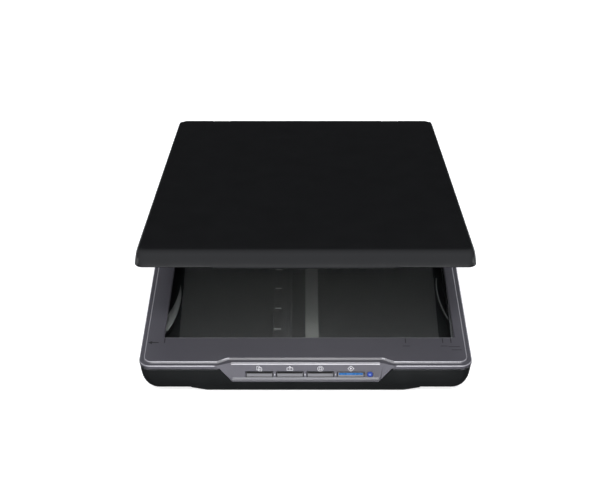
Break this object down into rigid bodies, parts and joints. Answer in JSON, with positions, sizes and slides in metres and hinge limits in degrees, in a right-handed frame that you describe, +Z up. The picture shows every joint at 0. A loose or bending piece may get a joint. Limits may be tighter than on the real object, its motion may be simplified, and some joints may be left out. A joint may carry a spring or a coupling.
{
  "type": "flatbed document scanner",
  "caption": "Slim flatbed document scanner: hinged lid on posts that lift, glass platen over a sensor carriage on a toothed rail, front push buttons and a fold-out stand.",
  "frame": {"origin": "centre of the base's footprint on the surface it stands on", "axes": "+X to the right seen from the button side, +Y to the rear where the lid is hinged, +Z up"},
  "size_m": [0.2514, 0.364, 0.1201],
  "materials": {
    "case_plastic": "fine grained, semi-matt",
    "frame_plastic": "fine grained, satin",
    "button_plastic": "satin",
    "start_window": "clear blue",
    "lamp_plastic": "translucent blue",
    "lid_plastic": "satin black",
    "platen_glass": "clear float glass",
    "black_tape": "thin black film tape",
    "white_film": "matt white film",
    "mat_foam": "white film over soft foam",
    "rubber": "matt",
    "steel": "plated steel",
    "motor_can": "zinc-plated can",
    "circuit_board": "green solder mask",
    "board_parts": "moulded chip packages and connectors",
    "flat_cable": "polyester ribbon",
    "harness": "sleeved wires",
    "lens": "black resin with lens rods",
    "light_bar": "clear acrylic",
    "acetal": "waxy, slippery",
    "pinion_brass": "turned"
  },
  "bodies": {
    "base": {"lower_case": "case_plastic", "upper_frame": "frame_plastic", "platen_glass": "platen_glass", "glass_tape": "black_tape", "calibration_strip": "white_film", "rubber_feet": "rubber", "case_screws": "steel", "drive_rail": "case_plastic", "flex_cable": "flat_cable", "main_board": "circuit_board", "board_parts": "board_parts", "board_screws": "steel", "button_board": "circuit_board", "tact_switches": "board_parts", "power_lamp": "lamp_plastic", "usb_board": "circuit_board", "usb_socket": "steel", "usb_harness": "harness"},
    "hinge_posts": {"hinge_post_left": "case_plastic", "hinge_post_right": "case_plastic"},
    "lid": {"lid_shell": "lid_plastic", "lid_liner": "case_plastic", "document_mat": "mat_foam", "hinge_pin_left": "steel", "hinge_pin_right": "steel", "lid_bumpers": "rubber"},
    "carriage": {"carriage_tray": "case_plastic", "sensor_housing": "case_plastic", "lens_array": "lens", "light_guide": "light_bar", "sensor_board": "circuit_board", "sensor_glides": "acetal", "leaf_springs": "steel", "guide_shoes": "acetal", "drive_motor": "motor_can", "motor_screws": "steel", "gear_axle": "steel", "flex_loop": "flat_cable"},
    "reduction_gear": {"reduction_gear": "acetal"},
    "motor_pinion": {"motor_pinion": "pinion_brass"},
    "button_pdf": {"button_pdf": "button_plastic"},
    "button_send": {"button_send": "button_plastic"},
    "button_copy": {"button_copy": "button_plastic"},
    "button_start": {"button_start": "button_plastic", "start_button_window": "start_window"},
    "stand": {"stand_leg": "case_plastic", "stand_pad": "rubber"}
  },
  "joints": [
    {"name": "hinge_lift", "type": "slide", "parent": "base", "child": "hinge_posts", "axis": [0, 0, 1], "range_m": [0, 0.012]},
    {"name": "lid_hinge", "type": "hinge", "parent": "hinge_posts", "child": "lid", "pos_m": [0, 0.1756, 0.033], "axis": [-1, 0, 0], "range_deg": [-13.35, 62]},
    {"name": "carriage_drive", "type": "slide", "parent": "base", "child": "carriage", "axis": [0, -1, 0], "range_m": [0, 0.297]},
    {"name": "reduction_gear_spin", "type": "hinge", "parent": "carriage", "child": "reduction_gear", "pos_m": [-0.0051, 0.165, 0.0105], "axis": [0, 0, 1], "range_deg": [-2720, 20]},
    {"name": "motor_pinion_spin", "type": "hinge", "parent": "carriage", "child": "motor_pinion", "pos_m": [0.006, 0.168, 0.0115], "axis": [0, 0, 1], "range_deg": [-40, 6200]},
    {"name": "press_pdf", "type": "slide", "parent": "base", "child": "button_pdf", "axis": [0, 0.9833, -0.1821], "range_m": [0, 0.0006], "stiffness_N_per_m": 800, "springref_m": -0.0008},
    {"name": "press_send", "type": "slide", "parent": "base", "child": "button_send", "axis": [0, 0.9833, -0.1821], "range_m": [0, 0.0006], "stiffness_N_per_m": 800, "springref_m": -0.0008},
    {"name": "press_copy", "type": "slide", "parent": "base", "child": "button_copy", "axis": [0, 0.9833, -0.1821], "range_m": [0, 0.0006], "stiffness_N_per_m": 800, "springref_m": -0.0008},
    {"name": "press_start", "type": "slide", "parent": "base", "child": "button_start", "axis": [0, 0.9833, -0.1821], "range_m": [0, 0.0006], "stiffness_N_per_m": 800, "springref_m": -0.0008},
    {"name": "stand_hinge", "type": "hinge", "parent": "base", "child": "stand", "pos_m": [0, 0.1705, 0.00455], "axis": [1, 0, 0], "range_deg": [0, 95]}
  ],
  "couplings": [
    {"joint": "reduction_gear_spin", "follows": "carriage_drive", "rad_per_m": -156.25},
    {"joint": "motor_pinion_spin", "follows": "carriage_drive", "rad_per_m": 357.14}
  ]
}
